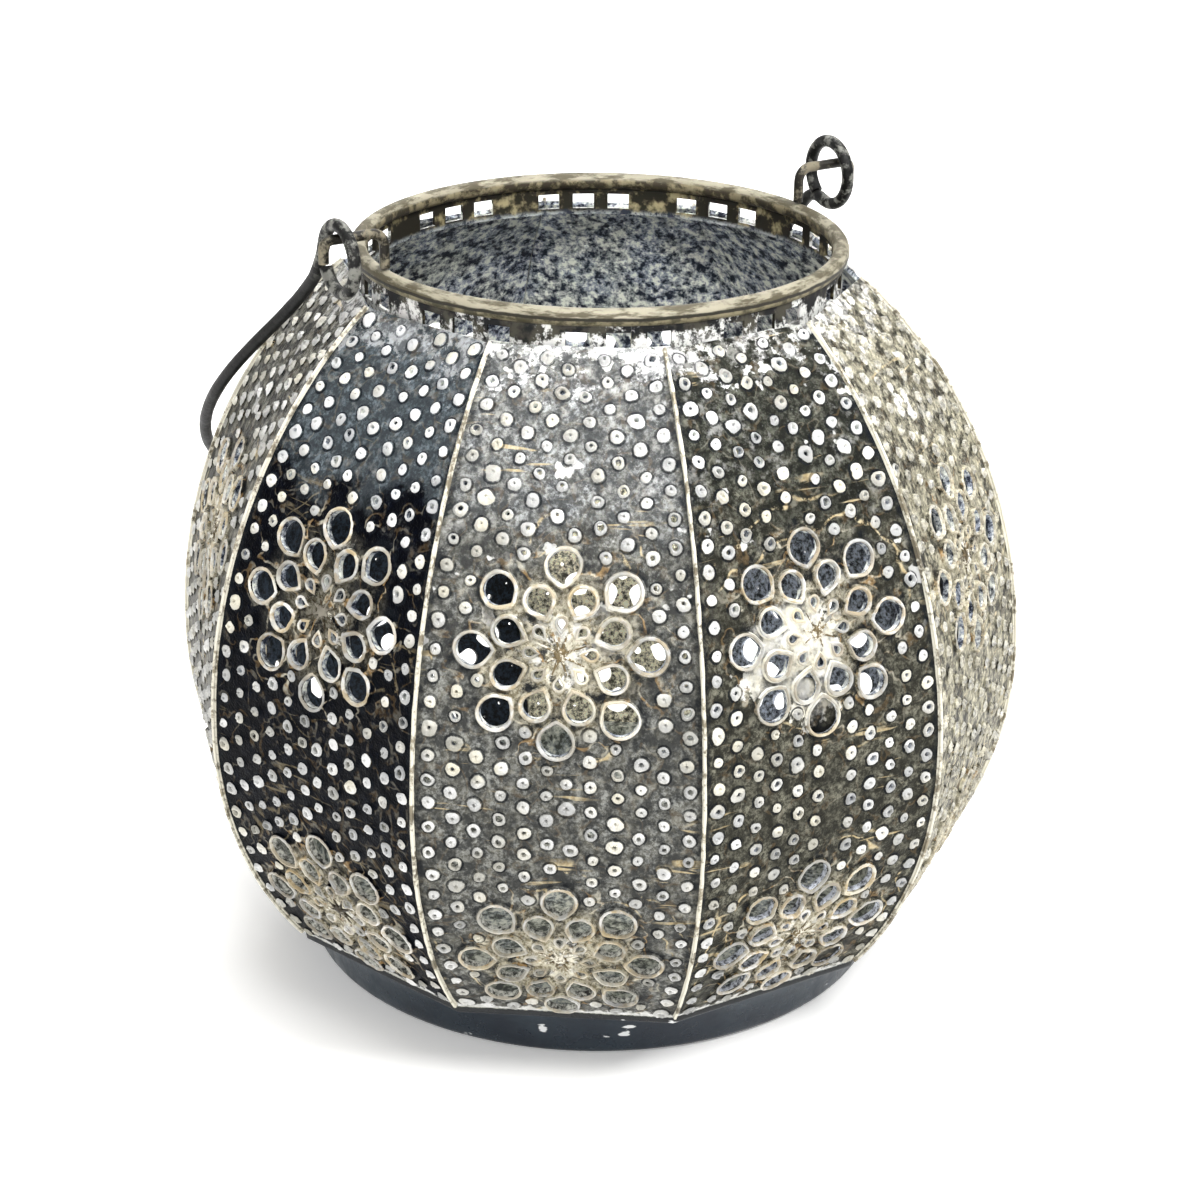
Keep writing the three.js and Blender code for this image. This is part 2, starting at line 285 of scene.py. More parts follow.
# Punched pattern of a gore, on the flat: across is sideways, way is along
UPPER_ROSETTE = way_at_height(109.5)
LOWER_ROSETTE = way_at_height(35.0)
GORE_MIDDLE = (UPPER_ROSETTE + LOWER_ROSETTE) / 2
PETALS = 8
BURR_PITCH = 5.55
COLUMN_PITCH = 5.1
BURR_RIM = 1.78
BURR_SKIRT = 0.45  # flat ring round a burr, on which its painted shade line fades out
EDGE_MARGIN = 3.1
END_MARGIN = 2.8
LEAST_SPACING = 4.5
FILL_SPACING = 4.9
ROSETTE_CLEAR = 13.0  # radius round a rosette's middle that stays free of burrs
LEAST_RIM = 0.72  # of BURR_RIM, below which a burr is left out
LARGE_BURR = 1.09  # of BURR_RIM, from which a burr is more ragged
OPEN_BURR = 0.48  # opening above which a burr is duller
LEAST_GAP = 0.1
SIDES = {"petal": 28, "drop": 14, "burr": 14}
# Painted shade round each petal and drop: a negative wash on the sheet at its outline
LOOP_SHADE = {"petal": -0.42, "drop": -0.2}


class Hole:
    """One punched place: a raised rim round an opening, whose tail may draw out to a point."""

    def __init__(self, kind, across, way, rim, hole, rise, tail=0.0, lean=0.0):
        self.kind, self.across, self.way = kind, across, way
        self.rim, self.hole, self.rise = rim, hole, rise
        self.tail, self.lean = tail, lean
        self.sides = SIDES[kind]

    def distance(self, across, way):
        return math.hypot(across - self.across, way - self.way)

    def contour(self, radius, wave=None, lift=0.0):
        """Points at the radius; the tail is drawn as the two tangents that meet at its tip."""
        points = []
        tip = max(radius * 1.001, self.tail * radius / self.rim)
        bend = math.pi - math.acos(radius / tip)
        for i in range(self.sides):
            angle = 2 * math.pi * i / self.sides
            away = math.pi - abs(math.pi - angle)
            reach = radius if away <= bend else min(radius / math.cos(away - bend), tip * 0.94)
            reach *= wave[i] if wave else 1
            turn = angle + self.lean
            points.append((self.across + reach * math.cos(turn), self.way + lift + reach * math.sin(turn)))
        return points


def rosette(centre_way, rng):
    """Two rings of drawn-out petals and a ring of small drops, tails to the centre."""
    holes = []
    for petal in range(PETALS):
        outer = petal * 2 * math.pi / PETALS + rng.uniform(-0.03, 0.03)
        inner = outer + math.pi / PETALS + rng.uniform(-0.02, 0.02)
        for kind, angle, ring, rim, hole, rise, tail in (
            ("petal", outer, 18.6, 4.6, 3.65, 0.95, 5.8),
            ("petal", inner, 12.2, 3.8, 2.8, 1.05, 5.5),
            ("drop", outer, 6.6, 1.8, 0.95, 0.8, 3.3),
        ):
            place = ring + rng.uniform(-0.12, 0.12)
            size = rng.uniform(0.94, 1.0)
            across, way = place * math.cos(angle), centre_way + place * math.sin(angle)
            opening = hole * size * rng.uniform(0.9, 1.0)
            holes.append(Hole(kind, across, way, rim * size, opening, rise * rng.uniform(0.85, 1.1),
                              tail * size, angle))
    return holes


def ragged_wave(count, amount, rng):
    """Shares of a radius round a hole that rise and fall in a few soft waves."""
    waves = [(n, rng.uniform(0.4, 1.0) * amount * part, rng.uniform(0, 2 * math.pi))
             for n, part in ((2, 1.0), (3, 0.6), (4, 0.5))]
    return [1 + sum(a * math.sin(n * 2 * math.pi * i / count + p) for n, a, p in waves)
            for i in range(count)]


def burr_field(petals, rng):
    """Staggered columns that follow both seams, then burrs wherever the middle has room for more."""
    burrs = []
    petal_edges = np.array([point for petal in petals for point in petal.contour(petal.rim)])

    def try_burr(across, way, spacing):
        if not 0 < way < GORE_LENGTH:
            return
        near = [burr.distance(across, way) for burr in burrs]
        if near and min(near) < spacing:
            return
        if any(math.hypot(across, way - c) < ROSETTE_CLEAR for c in (UPPER_ROSETTE, LOWER_ROSETTE)):
            return
        if any(petal.distance(across, way) < petal.rim for petal in petals):
            return
        room = min(way, GORE_LENGTH - way, half_width(way) - abs(across),
                   np.hypot(petal_edges[:, 0] - across, petal_edges[:, 1] - way).min() - LEAST_GAP,
                   *(n - b.rim - BURR_SKIRT for n, b in zip(near, burrs)))
        rim = BURR_RIM * (rng.uniform(1.1, 1.2) if rng.random() < 0.07 else rng.uniform(0.74, 1.02))
        rim = min(rim, room - BURR_SKIRT - LEAST_GAP)
        if rim < BURR_RIM * LEAST_RIM:
            return
        closed = 0.12 if way > GORE_MIDDLE else rng.uniform(0.45, 0.7)
        hole = rng.choice((closed, 0.14, rng.uniform(0.3, 0.45), rng.uniform(0.5, 0.8)))
        rise = rng.uniform(0.55, 0.95)
        burrs.append(Hole("burr", across, way, rim, hole, rise, lean=rng.uniform(0, 0.6)))

    rows = int((GORE_LENGTH - 2 * END_MARGIN) / BURR_PITCH)
    pitch = (GORE_LENGTH - 2 * END_MARGIN) / rows
    for column in range(6):
        for row in range(column % 2, 2 * rows + 1, 2):
            for side in (-1, 1):
                way = END_MARGIN + row * pitch / 2 + rng.uniform(-0.4, 0.4)
                inset = half_width(way) - EDGE_MARGIN - column * COLUMN_PITCH
                if inset > -1:
                    try_burr(side * inset + rng.uniform(-0.4, 0.4), way, LEAST_SPACING)
    for row in range(int(GORE_LENGTH)):
        for step in range(-30, 31):
            try_burr(step + rng.uniform(-0.3, 0.3), row + rng.uniform(-0.3, 0.3), FILL_SPACING)
    return burrs


def outline(spacing=4.0):
    """The gore's edge on the flat, from the bottom left corner round to the left side."""

    def row(way):
        count = max(4, int(2 * half_width(way) / spacing))
        return [(half_width(way) * (2 * i / count - 1), way) for i in range(count)]

    along = int(GORE_LENGTH / spacing)
    side = [(half_width(GORE_LENGTH * i / along), GORE_LENGTH * i / along) for i in range(along + 1)]
    back = row(GORE_LENGTH) + side[:0:-1]
    return row(0.0) + side[:-1] + [(-across, way) for across, way in back]


def gore_point(across, way, height, turn):
    """A place on the flat, raised from the outer face by height, set on the globe."""
    limited = min(max(way, 0.0), GORE_LENGTH)
    angle = angle_at(limited)
    point = on_curve(angle, FLAT, height)
    if height <= -SHEET / 2:
        across *= half_width(limited, SHEET) / half_width(limited)
        if limited == 0:
            point.y = on_curve(angle, FLAT).y - EDGE_DROP
    return turned(point.x, across, point.y, turn)


# Colours of each gore: worn upper tone, worn lower tone, white haze at the top, overall cream bloom, low
# inside tone (painted shade where dark and painted light where pale, for what shows through the petals),
# and how far the sheet round its rosettes is rubbed to tan
GORE_TONES = [
    ((0.10, 0.10, 0.095), (0.07, 0.068, 0.06), 0.6, 0.3, (0.42, 0.46, 0.54), 0.7),
    ((0.045, 0.045, 0.038), (0.05, 0.048, 0.04), 0.4, 0.1, (0.75, 0.70, 0.52), 0.5),
    ((0.05, 0.055, 0.06), (0.008, 0.011, 0.017), 0.4, 0.1, (0.012, 0.018, 0.027), 0.6),
    ((0.09, 0.09, 0.085), (0.06, 0.06, 0.055), 0.7, 0.4, (0.022, 0.03, 0.042), 0.8),
    ((0.055, 0.055, 0.05), (0.022, 0.022, 0.019), 0.35, 0.35, (0.4, 0.4, 0.36), 0.7),
    ((0.05, 0.06, 0.067), (0.0005, 0.001, 0.0028), 0.2, 0.0, (0.4, 0.4, 0.36), 0.3),
    ((0.105, 0.11, 0.112), (0.078, 0.08, 0.077), 0.5, 0.2, (0.4, 0.4, 0.36), 1.0),
    ((0.024, 0.025, 0.02), (0.045, 0.044, 0.034), 0.4, 0.05, (0.4, 0.42, 0.46), 0.6),
    ((0.13, 0.122, 0.094), (0.13, 0.122, 0.09), 0.4, 1.0, (0.4, 0.4, 0.36), 0.8),
    ((0.05, 0.05, 0.045), (0.04, 0.04, 0.036), 0.5, 0.2, (0.035, 0.04, 0.05), 0.6),
]

# How smooth the weathering of a gore is, where it differs from the others
CALM = {4: 0.2, 5: 0.65, 6: 0.5, 7: 0.4, 8: 0.1}

# White or cream splashes on the upper rosettes: gore, across, way from the middle, radius, strength
SPLASHES = [
    (0, 0, 0, 7, 0.8), (1, 3, -2, 8, 0.8), (2, -4, 0, 8, 0.9), (3, 0, 3, 7, 0.7), (4, 0, 0, 6, 0.8),
    (5, 10, -3, 8, 0.75), (5, 3, 16, 5, 0.7), (6, 0, 0, 9, 0.85), (6, 9, 9, 7, 0.7), (6, -12, 8, 6, 0.75),
    (7, -7, -4, 12, 1.5), (7, -2, -14, 8, 1.3), (8, 0, 0, 5, 0.8), (9, 4, 2, 8, 0.9),
]
LOWER_SPLASH = 9, 0.7  # radius and strength, the same on every lower rosette


def fading(across, way, radius, strength):
    """Strength of a splash at a place off its middle."""
    off = math.hypot(across, way) / radius
    return strength * max(0.0, 1 - 0.5 * off * off)


def splash_at(index, across, way):
    found = fading(across, way - LOWER_ROSETTE, *LOWER_SPLASH)
    for gore, middle, rise, radius, strength in SPLASHES:
        if gore == index:
            found = max(found, fading(across - middle, way - UPPER_ROSETTE - rise, radius, strength))
    return found


def pierced_sheet(holes):
    """The flat sheet: its points, its triangles, the loop of its edge and the loops round the holes."""
    flat = outline()
    loops = [list(range(len(flat)))]
    owner = [-1] * len(flat)
    for number, hole in enumerate(holes):
        ring = hole.contour(hole.rim + (BURR_SKIRT if hole.kind == "burr" else 0.0))
        loops.append(list(range(len(flat), len(flat) + len(ring))))
        flat += ring
        owner += [number] * len(ring)
    borders = [pair for loop in loops for pair in zip(loop, loop[1:] + loop[:1])]
    points, _, triangles, origins, *_ = delaunay_2d_cdt([Vector(p) for p in flat], borders, [], 0, 1e-6)
    new_of = {old: new for new, olds in enumerate(origins) for old in olds}
    kept = []
    for face in triangles:
        owners = {owner[min(origins[v])] if origins[v] else -1 for v in face}
        if len(owners) > 1 or min(owners) < 0:
            kept.append(tuple(face))
    edge, *rings = [[new_of[v] for v in loop] for loop in loops]
    return points, kept, edge, rings


class Sheet:
    """Vertices of one gore, with what its material reads at each and their places on the flat."""

    def __init__(self, turn):
        self.turn = turn
        self.vertices, self.wash, self.shade, self.gilt, self.spots = [], [], [], [], []

    def add(self, across, way, height, wash, shade=1.0, gilt=0.0):
        self.vertices.append(gore_point(across, way, height, self.turn))
        self.wash.append(wash)
        self.shade.append(shade)
        self.gilt.append(gilt)
        self.spots.append((across, way))
        return len(self.vertices) - 1


# Rings of a raised rim, from its outline inwards: way out from the opening, share of the rise, wash (below
# zero, painted shade round a burr's foot)
RIM_RINGS = {
    "burr": ((1.0, 0.0, -0.9), (0.78, 0.4, 0.75), (0.5, 0.9, 1.0), (0.2, 1.0, 1.0)),
    "petal": ((0.85, 0.4, 0.2), (0.6, 1.0, 0.8), (0.3, 1.0, 0.8)),
    "drop": ((0.75, 0.5, 0.4), (0.45, 1.0, 0.9), (0.2, 0.9, 0.8)),
}


def raise_rim(sheet, hole, outer_loop, inner_loop, rng):
    """Faces of a hole's raised rim, and those of the wall through the sheet."""
    burr = hole.kind == "burr"
    gilt = 0.0 if burr else rng.uniform(0.4, 0.95)
    raggedness = 0.02 if not burr else 0.12 if hole.rim > BURR_RIM * LARGE_BURR else 0.08
    wave = ragged_wave(hole.sides, raggedness, rng)
    lift = [1 + rng.uniform(-0.25, 0.25) * (1 if burr else 0.4) for _ in range(hole.sides)]
    shade = rng.uniform(0.5, 0.8) if burr and hole.hole > OPEN_BURR else rng.uniform(0.7, 1.0)
    off_centre = rng.uniform(0.0, 0.4) if burr else 0.0
    outside = hole.contour(hole.rim, wave)
    inside = hole.contour(hole.hole, wave, off_centre)
    faces = []
    previous = outer_loop
    for share, height, wash in RIM_RINGS[hole.kind]:
        ring = [sheet.add(i[0] + (o[0] - i[0]) * share, i[1] + (o[1] - i[1]) * share,
                          hole.rise * height * lift[k], wash, shade, gilt)
                for k, (o, i) in enumerate(zip(outside, inside))]
        faces += strip(previous, ring)
        previous = ring
    lip = [sheet.add(x, y, hole.rise * 0.35, 0.8 if burr else 0.4, shade, gilt) for x, y in inside]
    floor = [sheet.add(x, y, -SHEET, 0.1) for x, y in inside]
    return faces + strip(previous, lip), strip(lip, floor) + strip(floor, inner_loop)


def dress_gore(obj, index, sheet):
    """Attributes and flat coordinates that the gore's material reads."""
    upper, lower, haze, bloom, inner, rub = GORE_TONES[index]
    count = len(sheet.vertices)
    for name, values in (
        ("wash", sheet.wash), ("shade", sheet.shade), ("gilt", sheet.gilt),
        ("splash", [splash_at(index, across, way) for across, way in sheet.spots]),
        ("rub", [max(rub, 0.85) if way < GORE_MIDDLE else rub for _, way in sheet.spots]),
        ("haze", [haze] * count), ("bloom", [bloom] * count),
        ("calm", [CALM.get(index, 0.3)] * count),
        ("creased", [0.25 if index == DARK_GORE else 1.0] * count),
    ):
        float_attribute(obj, name, values)
    for name, tone in (("upper_tone", upper), ("lower_tone", lower), ("inner_tone", inner)):
        color_attribute(obj, name, [tone] * count)
    corners = np.zeros(len(obj.data.loops), dtype=np.int32)
    obj.data.loops.foreach_get("vertex_index", corners)
    to_seam = [half_width(min(max(way, 0.0), GORE_LENGTH)) - abs(across) for across, way in sheet.spots]
    plan = np.array(sheet.spots)
    edge = np.column_stack([to_seam, GORE_LENGTH - plan[:, 1]])
    for name, flat in (("plan", plan), ("edge", edge)):
        obj.data.uv_layers.new(name=name).data.foreach_set("uv", (flat[corners] * UV_UNIT).ravel())


def make_gore(index):
    rng = random.Random(40 + index)
    turn = (index + 0.5) * GORE_ANGLE
    petals = rosette(UPPER_ROSETTE, rng) + rosette(LOWER_ROSETTE, rng)
    holes = petals + burr_field(petals, rng)
    points, kept, edge, rings = pierced_sheet(holes)
    loop_shade = {v: LOOP_SHADE.get(hole.kind, 0.0) for hole, ring in zip(holes, rings) for v in ring}
    sheet = Sheet(turn)
    front = [sheet.add(p.x, p.y, 0.0, loop_shade.get(v, 0.0)) for v, p in enumerate(points)]
    back = [sheet.add(p.x, p.y, -SHEET, 0.0) for p in points]
    outer = [tuple(front[v] for v in face) for face in kept]
    inner = [tuple(back[v] for v in reversed(face)) for face in kept]
    for hole, ring in zip(holes, rings):
        rim, wall = raise_rim(sheet, hole, [front[v] for v in ring], [back[v] for v in ring], rng)
        outer += rim
        inner += wall
    edge.reverse()
    sides = strip([front[v] for v in edge], [back[v] for v in edge])
    number = f"{index + 1:02d}"
    obj = make_object(f"gore_{number}", sheet.vertices, outer + sides + inner, BODY,
                      [GORE_OUTSIDE, GORE_INSIDE], f"panel_{number}")
    dress_gore(obj, index, sheet)
    obj.data.polygons.foreach_set("material_index", [0] * len(outer) + [1] * (len(sides) + len(inner)))
    make_boss(index, turn, rng)


# Bosses of the rosettes, in millimetres from the gore's outer face
BOSS_RADIUS = 1.5
BOSS_FOOT = -0.1
BOSS_TOP = 0.7
RIB_START = 1.1
RIB_RADIUS = 0.34


def boss_dome(centre, turn, rng):
    """A low ragged dome of rings that shrink to its top."""
    rings, around = 5, 18
    ragged = [1 + rng.uniform(-0.16, 0.16) for _ in range(around)]
    vertices = []
    for ring in range(rings):
        tilt = ring / rings * math.pi / 2
        for step in range(around):
            angle = step * 2 * math.pi / around
            reach = BOSS_RADIUS * math.cos(tilt) * ragged[step]
            vertices.append(gore_point(reach * math.cos(angle), centre + reach * math.sin(angle),
                                       BOSS_FOOT + (BOSS_TOP - BOSS_FOOT) * math.sin(tilt), turn))
    vertices.append(gore_point(0, centre, BOSS_TOP, turn))
    loops = [list(range(ring * around, (ring + 1) * around)) for ring in range(rings)]
    faces = [quad for low, high in zip(loops, loops[1:]) for quad in strip(low, high)]
    faces += [(*pair, len(vertices) - 1) for pair in zip(loops[-1], loops[-1][1:] + loops[-1][:1])]
    faces.append(tuple(reversed(loops[0])))
    return vertices, faces


def make_boss(index, turn, rng):
    """Bosses at the middle of both rosettes, with short ribs that run out between the drops."""
    parts = []
    for centre in (UPPER_ROSETTE, LOWER_ROSETTE):
        for petal in range(PETALS):
            angle = (2 * petal + 1) * math.pi / PETALS + rng.uniform(-0.12, 0.12)
            length = rng.uniform(2.4, 4.6)
            route = []
            for step in range(7):
                reach = RIB_START + step * length / 6
                route.append(gore_point(reach * math.cos(angle), centre + reach * math.sin(angle),
                                        0.12 - 0.2 * step / 6, turn))
            parts.append(tube(route, RIB_RADIUS * MM, 8, wobble=0.3, seed=index * 31 + petal, taper=0.35))
        parts.append(boss_dome(centre, turn, rng))
    vertices, faces = joined(parts)
    obj = make_object(f"rosette_boss_{index + 1:02d}", vertices, faces, BODY, [BOSS_WASH],
                      smooth=50)
    float_attribute(obj, "bare", [0.75 if index == DARK_GORE else 0.0] * len(vertices))


# Materials
class Value:
    """What a node gives. Plain sums with it add math nodes to the same material."""

    def __init__(self, graph, socket):
        self.graph, self.socket = graph, socket

    def __add__(self, other):
        return self.graph.math("ADD", self, other)

    def __sub__(self, other):
        return self.graph.math("SUBTRACT", self, other)

    def __rsub__(self, other):
        return self.graph.math("SUBTRACT", other, self)

    def __mul__(self, other):
        return self.graph.math("MULTIPLY", self, other)

    def __abs__(self):
        return self.graph.math("ABSOLUTE", self)


class Graph:
    """A new material, with short calls for the nodes that the materials here use."""

    def __init__(self, name):
        self.material = bpy.data.materials.new(name)
        self.material.use_nodes = True
        self.tree = self.material.node_tree
        self.tree.nodes.clear()
        output = self.tree.nodes.new("ShaderNodeOutputMaterial")
        self.shader = self.tree.nodes.new("ShaderNodeBsdfPrincipled")
        self.tree.links.new(self.shader.outputs["BSDF"], output.inputs["Surface"])
        self.place = self.node("TexCoord", "Object")
        self.height = self.axis(self.place, "Z")

    def link(self, source, socket):
        if isinstance(source, Value):
            self.tree.links.new(source.socket, socket)
        elif socket.type == "RGBA":
            socket.default_value = (*source, 1.0)
        else:
            socket.default_value = source

    def node(self, kind, output, sockets=None, **settings):
        """One output of a new node, after its settings are made and its sockets are filled."""
        node = self.tree.nodes.new(f"ShaderNode{kind}")
        for name, value in settings.items():
            setattr(node, name, value)
        for name, source in (sockets or {}).items():
            self.link(source, node.inputs[name])
        return Value(self, node.outputs[output])

    def math(self, operation, first, second=0.0):
        return self.node("Math", "Value", {0: first, 1: second}, operation=operation)

    def most(self, first, *others):
        for other in others:
            first = self.math("MAXIMUM", first, other)
        return first

    def vector_math(self, operation, output, *terms):
        return self.node("VectorMath", output, dict(enumerate(terms)), operation=operation)

    def scaled(self, vector, factor):
        return self.node("VectorMath", "Vector", {0: vector, "Scale": factor}, operation="SCALE")

    def combine(self, x, y, z=0.0):
        return self.node("CombineXYZ", "Vector", {0: x, 1: y, 2: z})

    def axis(self, vector, name):
        return self.node("SeparateXYZ", name, {"Vector": vector})

    def uv(self, name):
        flat = self.node("UVMap", "UV", uv_map=name)
        return self.axis(flat, "X"), self.axis(flat, "Y")

    def attribute(self, name, output="Fac"):
        return self.node("Attribute", output, attribute_name=name)

    def stretch(self, scale):
        return self.node("Mapping", "Vector", {"Vector": self.place, "Scale": scale})

    def noise(self, scale, detail=4.0, roughness=0.55, vector=None, distortion=0.0):
        return self.node("TexNoise", "Fac", {"Scale": scale, "Detail": detail, "Roughness": roughness,
                                             "Distortion": distortion, "Vector": vector or self.place})

    def ramp(self, value, low, high, start=0.0, end=1.0):
        """Start up to low and end from high on, with a smooth step between them."""
        sockets = {"Value": value, "From Min": low, "From Max": high, "To Min": start, "To Max": end}
        return self.node("MapRange", "Result", sockets, interpolation_type="SMOOTHSTEP")

    def mix(self, factor, first, second):
        return self.node("Mix", "Result", {"Factor": factor, "A": first, "B": second}, data_type="RGBA")

    def surface(self, color, roughness, relief=None, strength=0.5, depth=0.0004, metallic=0.0,
                specular=0.5):
        """Links the results to the shader and gives the material."""
        sockets = {"Base Color": color, "Roughness": roughness, "Metallic": metallic,
                   "Specular IOR Level": specular}
        if relief:
            sockets["Normal"] = self.node("Bump", "Normal", {"Strength": strength, "Distance": depth,
                                                             "Height": relief})
        for name, source in sockets.items():
            self.link(source, self.shader.inputs[name])
        return self.material


WHITE_WASH = (0.82, 0.82, 0.81)
CREAM_WASH = (0.72, 0.68, 0.55)
OLD_GOLD = (0.48, 0.36, 0.18)
OLIVE_TAN = (0.22, 0.19, 0.12)
# The near-black of painted shade, beside the seams and round burrs and petals
PAINTED_SHADE = (0.006, 0.008, 0.011)


def gore_outside():
    g = Graph("gore_outside")
    across, way = g.uv("plan")
    to_seam, to_top = g.uv("edge")
    cloud = g.noise(50, 5, 0.6)
    patch = g.noise(150, 5, 0.65)
    mottle = g.noise(330, 4, 0.7)
    grain = g.noise(950, 4, 0.75)
    ragged = g.noise(380, 4, 0.65) - 0.5
    bloom, calm, hazy = g.attribute("bloom"), g.attribute("calm"), g.attribute("haze")

    # Base coat: the upper tone gives way to the lower one, then clouded, mottled and grained
    high = g.ramp(way + (cloud - 0.5) * 0.5 + across * 0.08, 1.24, 1.3)
    tone = g.mix(high, g.attribute("lower_tone", "Color"), g.attribute("upper_tone", "Color"))
    shading = g.ramp(patch, 0.38, 0.62, 1.35, 0.6) * g.ramp(mottle, 0.4, 0.62, 0.12, 2.0)
    shading = shading * g.ramp(grain, 0.4, 0.62, 0.15, 2.4) * (1.0 - calm) + calm
    base = g.scaled(tone, shading)

    # Old gold: creases across the sheet, short lines and rubbed patches round the rosettes
    half = (UPPER_ROSETTE - LOWER_ROSETTE) / 2 * UV_UNIT
    spot = g.combine(across, abs(way - GORE_MIDDLE * UV_UNIT) - half)
    radius = g.vector_math("LENGTH", "Value", spot)
    near = g.ramp(radius, 0.15, 0.27, 1.0, 0.0)
    wander = abs(g.noise(150, 2, 0.5, distortion=0.4) - 0.5)
    lines = g.ramp(wander, 0.01, 0.032, 1.0, 0.0) * g.ramp(patch, 0.42, 0.53, 0.0, 0.9)
    lines = lines * (near * 0.88 + 0.12)
    creases = g.noise(1.0, 3, 0.6, g.stretch((30, 30, 330)), 1.2)
    gold = g.ramp(creases, 0.62, 0.66) * g.ramp(cloud, 0.5, 0.6, 0.0, 0.75)
    ring = radius + (g.noise(45, 3, 0.5) - 0.5) * 0.26
    arcs = abs(g.math("PINGPONG", ring, 0.052) - 0.024)
    arcs = g.ramp(arcs, 0.001, 0.0046, 1.0, 0.0) * g.ramp(radius, 0.19, 0.21)
    arcs = arcs * (g.ramp(radius, 0.27, 0.31, 1.0, 0.0) * g.ramp(cloud, 0.5, 0.56))
    gold = g.most(gold, arcs * g.ramp(mottle, 0.42, 0.52, 0.0, 0.85)) * g.attribute("creased")
    rubbed = g.ramp(mottle, 0.36, 0.52) * (g.ramp(radius, 0.13, 0.2, 1.0, 0.0) * g.attribute("rub"))
    base = g.mix(lines, base, g.mix(g.ramp(mottle, 0.42, 0.6), (0.36, 0.23, 0.1), CREAM_WASH))
    base = g.mix(gold, base, g.mix(g.ramp(grain, 0.42, 0.58, 0.2, 0.8), OLD_GOLD, (0.62, 0.54, 0.36)))
    base = g.mix(rubbed, base, g.mix(g.ramp(grain, 0.42, 0.56), OLIVE_TAN, (0.58, 0.54, 0.42)))
    # Painted shade beside the seam wires, weaker on the creamy gores
    seam_shade = g.ramp(to_seam + (mottle - 0.5) * 0.02, 0.008, 0.02, 0.85, 0.0)
    base = g.mix(seam_shade * (1.0 - bloom), base, PAINTED_SHADE)

    # Splashes on and round each rosette's middle, drawn out away from it
    heading = g.scaled(g.vector_math("NORMALIZE", "Vector", spot), 1.6)
    drawn_out = g.vector_math("ADD", "Vector", heading, g.combine(0.0, 0.0, radius * 14.0))
    strokes = g.noise(1.0, 3, 0.7, drawn_out) * 0.5 + g.noise(420, 4, 0.7) * 0.5
    strokes = g.ramp(strokes + (g.attribute("splash") - 1.0) * 0.3, 0.4, 0.46, 0.0, 0.95)

    # White wash: on the burrs, over the torn top, in haze, and here and there along the edges
    # The wash attribute is white wash above zero; below zero it paints the shade line round burrs and
    # petals
    wear = g.attribute("wash") + ragged
    white = g.ramp(wear, 0.38, 0.55) * (1.0 - bloom * 0.3)
    torn = g.ramp(to_top + (g.noise(150, 5, 0.75) - 0.5) * 0.75, 0.025, 0.06, 1.0, 0.0) * hazy
    torn = torn * g.ramp(mottle + ragged * 0.5, 0.4, 0.56, 0.35, 1.5)
    haze = g.ramp(g.noise(95, 5, 0.7) + ragged * 0.6, 0.54, 0.76) * g.ramp(way, 1.0, 1.5, 0.03, 0.7) * hazy
    foot = g.ramp(way + ragged * 0.09, 0.01, 0.022, 0.85, 0.0)
    splotches = g.ramp(g.noise(120, 3, 0.5) + ragged * 0.08, 0.65, 0.67, 0.0, 0.9)
    splotches = splotches * g.ramp(way, 0.9, 1.2) * g.ramp(hazy, 0.3, 0.4)
    smears = g.most(torn, haze, strokes, foot, splotches)
    veil = g.ramp(mottle + ragged * 0.5, 0.38, 0.66) * bloom

    # Tints of the wash, from white through cream to gold, and duller where a burr is shaded
    tint = g.mix(g.ramp(g.noise(70, 3, 0.5), 0.45, 0.7), WHITE_WASH, CREAM_WASH)
    tint = g.mix(near * g.ramp(g.noise(200, 3, 0.6), 0.42, 0.58, 0.0, 0.6), tint, CREAM_WASH)
    tint = g.mix(g.attribute("gilt") * g.ramp(g.noise(300, 3, 0.6), 0.4, 0.58, 0.1, 1.0), tint, OLD_GOLD)
    dull = g.attribute("shade") * g.ramp(g.noise(80, 3, 0.6), 0.4, 0.56, 0.5, 1.0)
    tint = g.mix(1.0 - dull, tint, (0.16, 0.17, 0.18))
    tint = g.mix(bloom * g.ramp(grain, 0.4, 0.6, 0.2, 0.75), tint, (0.5, 0.47, 0.37))
    smear_tint = g.mix(g.ramp(patch, 0.4, 0.6), WHITE_WASH, (0.62, 0.62, 0.58))
    smear_tint = g.mix(near * g.ramp(mottle, 0.4, 0.6, 0.2, 0.9), smear_tint, CREAM_WASH)

    # All coats, a painted shade line round each burr and petal, and dust on the creamy gores
    color = g.mix(veil * 0.75, base, (0.32, 0.3, 0.22))
    color = g.mix(smears, color, smear_tint)
    color = g.mix(white, color, tint)
    painted_shade_line = g.ramp(wear, -0.5, -0.1, 0.9, 0.0) * (1.0 - bloom * 0.7)
    color = g.mix(painted_shade_line * g.ramp(g.noise(230, 3, 0.6), 0.4, 0.56, 0.4, 1.0), color, PAINTED_SHADE)
    dusty = (g.noise(1.0, 4, 0.75, g.stretch((800, 800, 400))) - 0.5) * bloom
    color = g.scaled(color, dusty * 3.6 + 1.0)
    covered = g.most(white, smears)
    relief = mottle * 0.7 + g.noise(1900, 2, 0.6) * 0.25 + patch + lines * 0.2
    return g.surface(color, g.ramp(covered, 0, 1, 0.4, 0.8), relief, 0.7, 0.0009,
                    metallic=g.ramp(covered, 0, 0.7, 0.1, 0.0), specular=0.04)


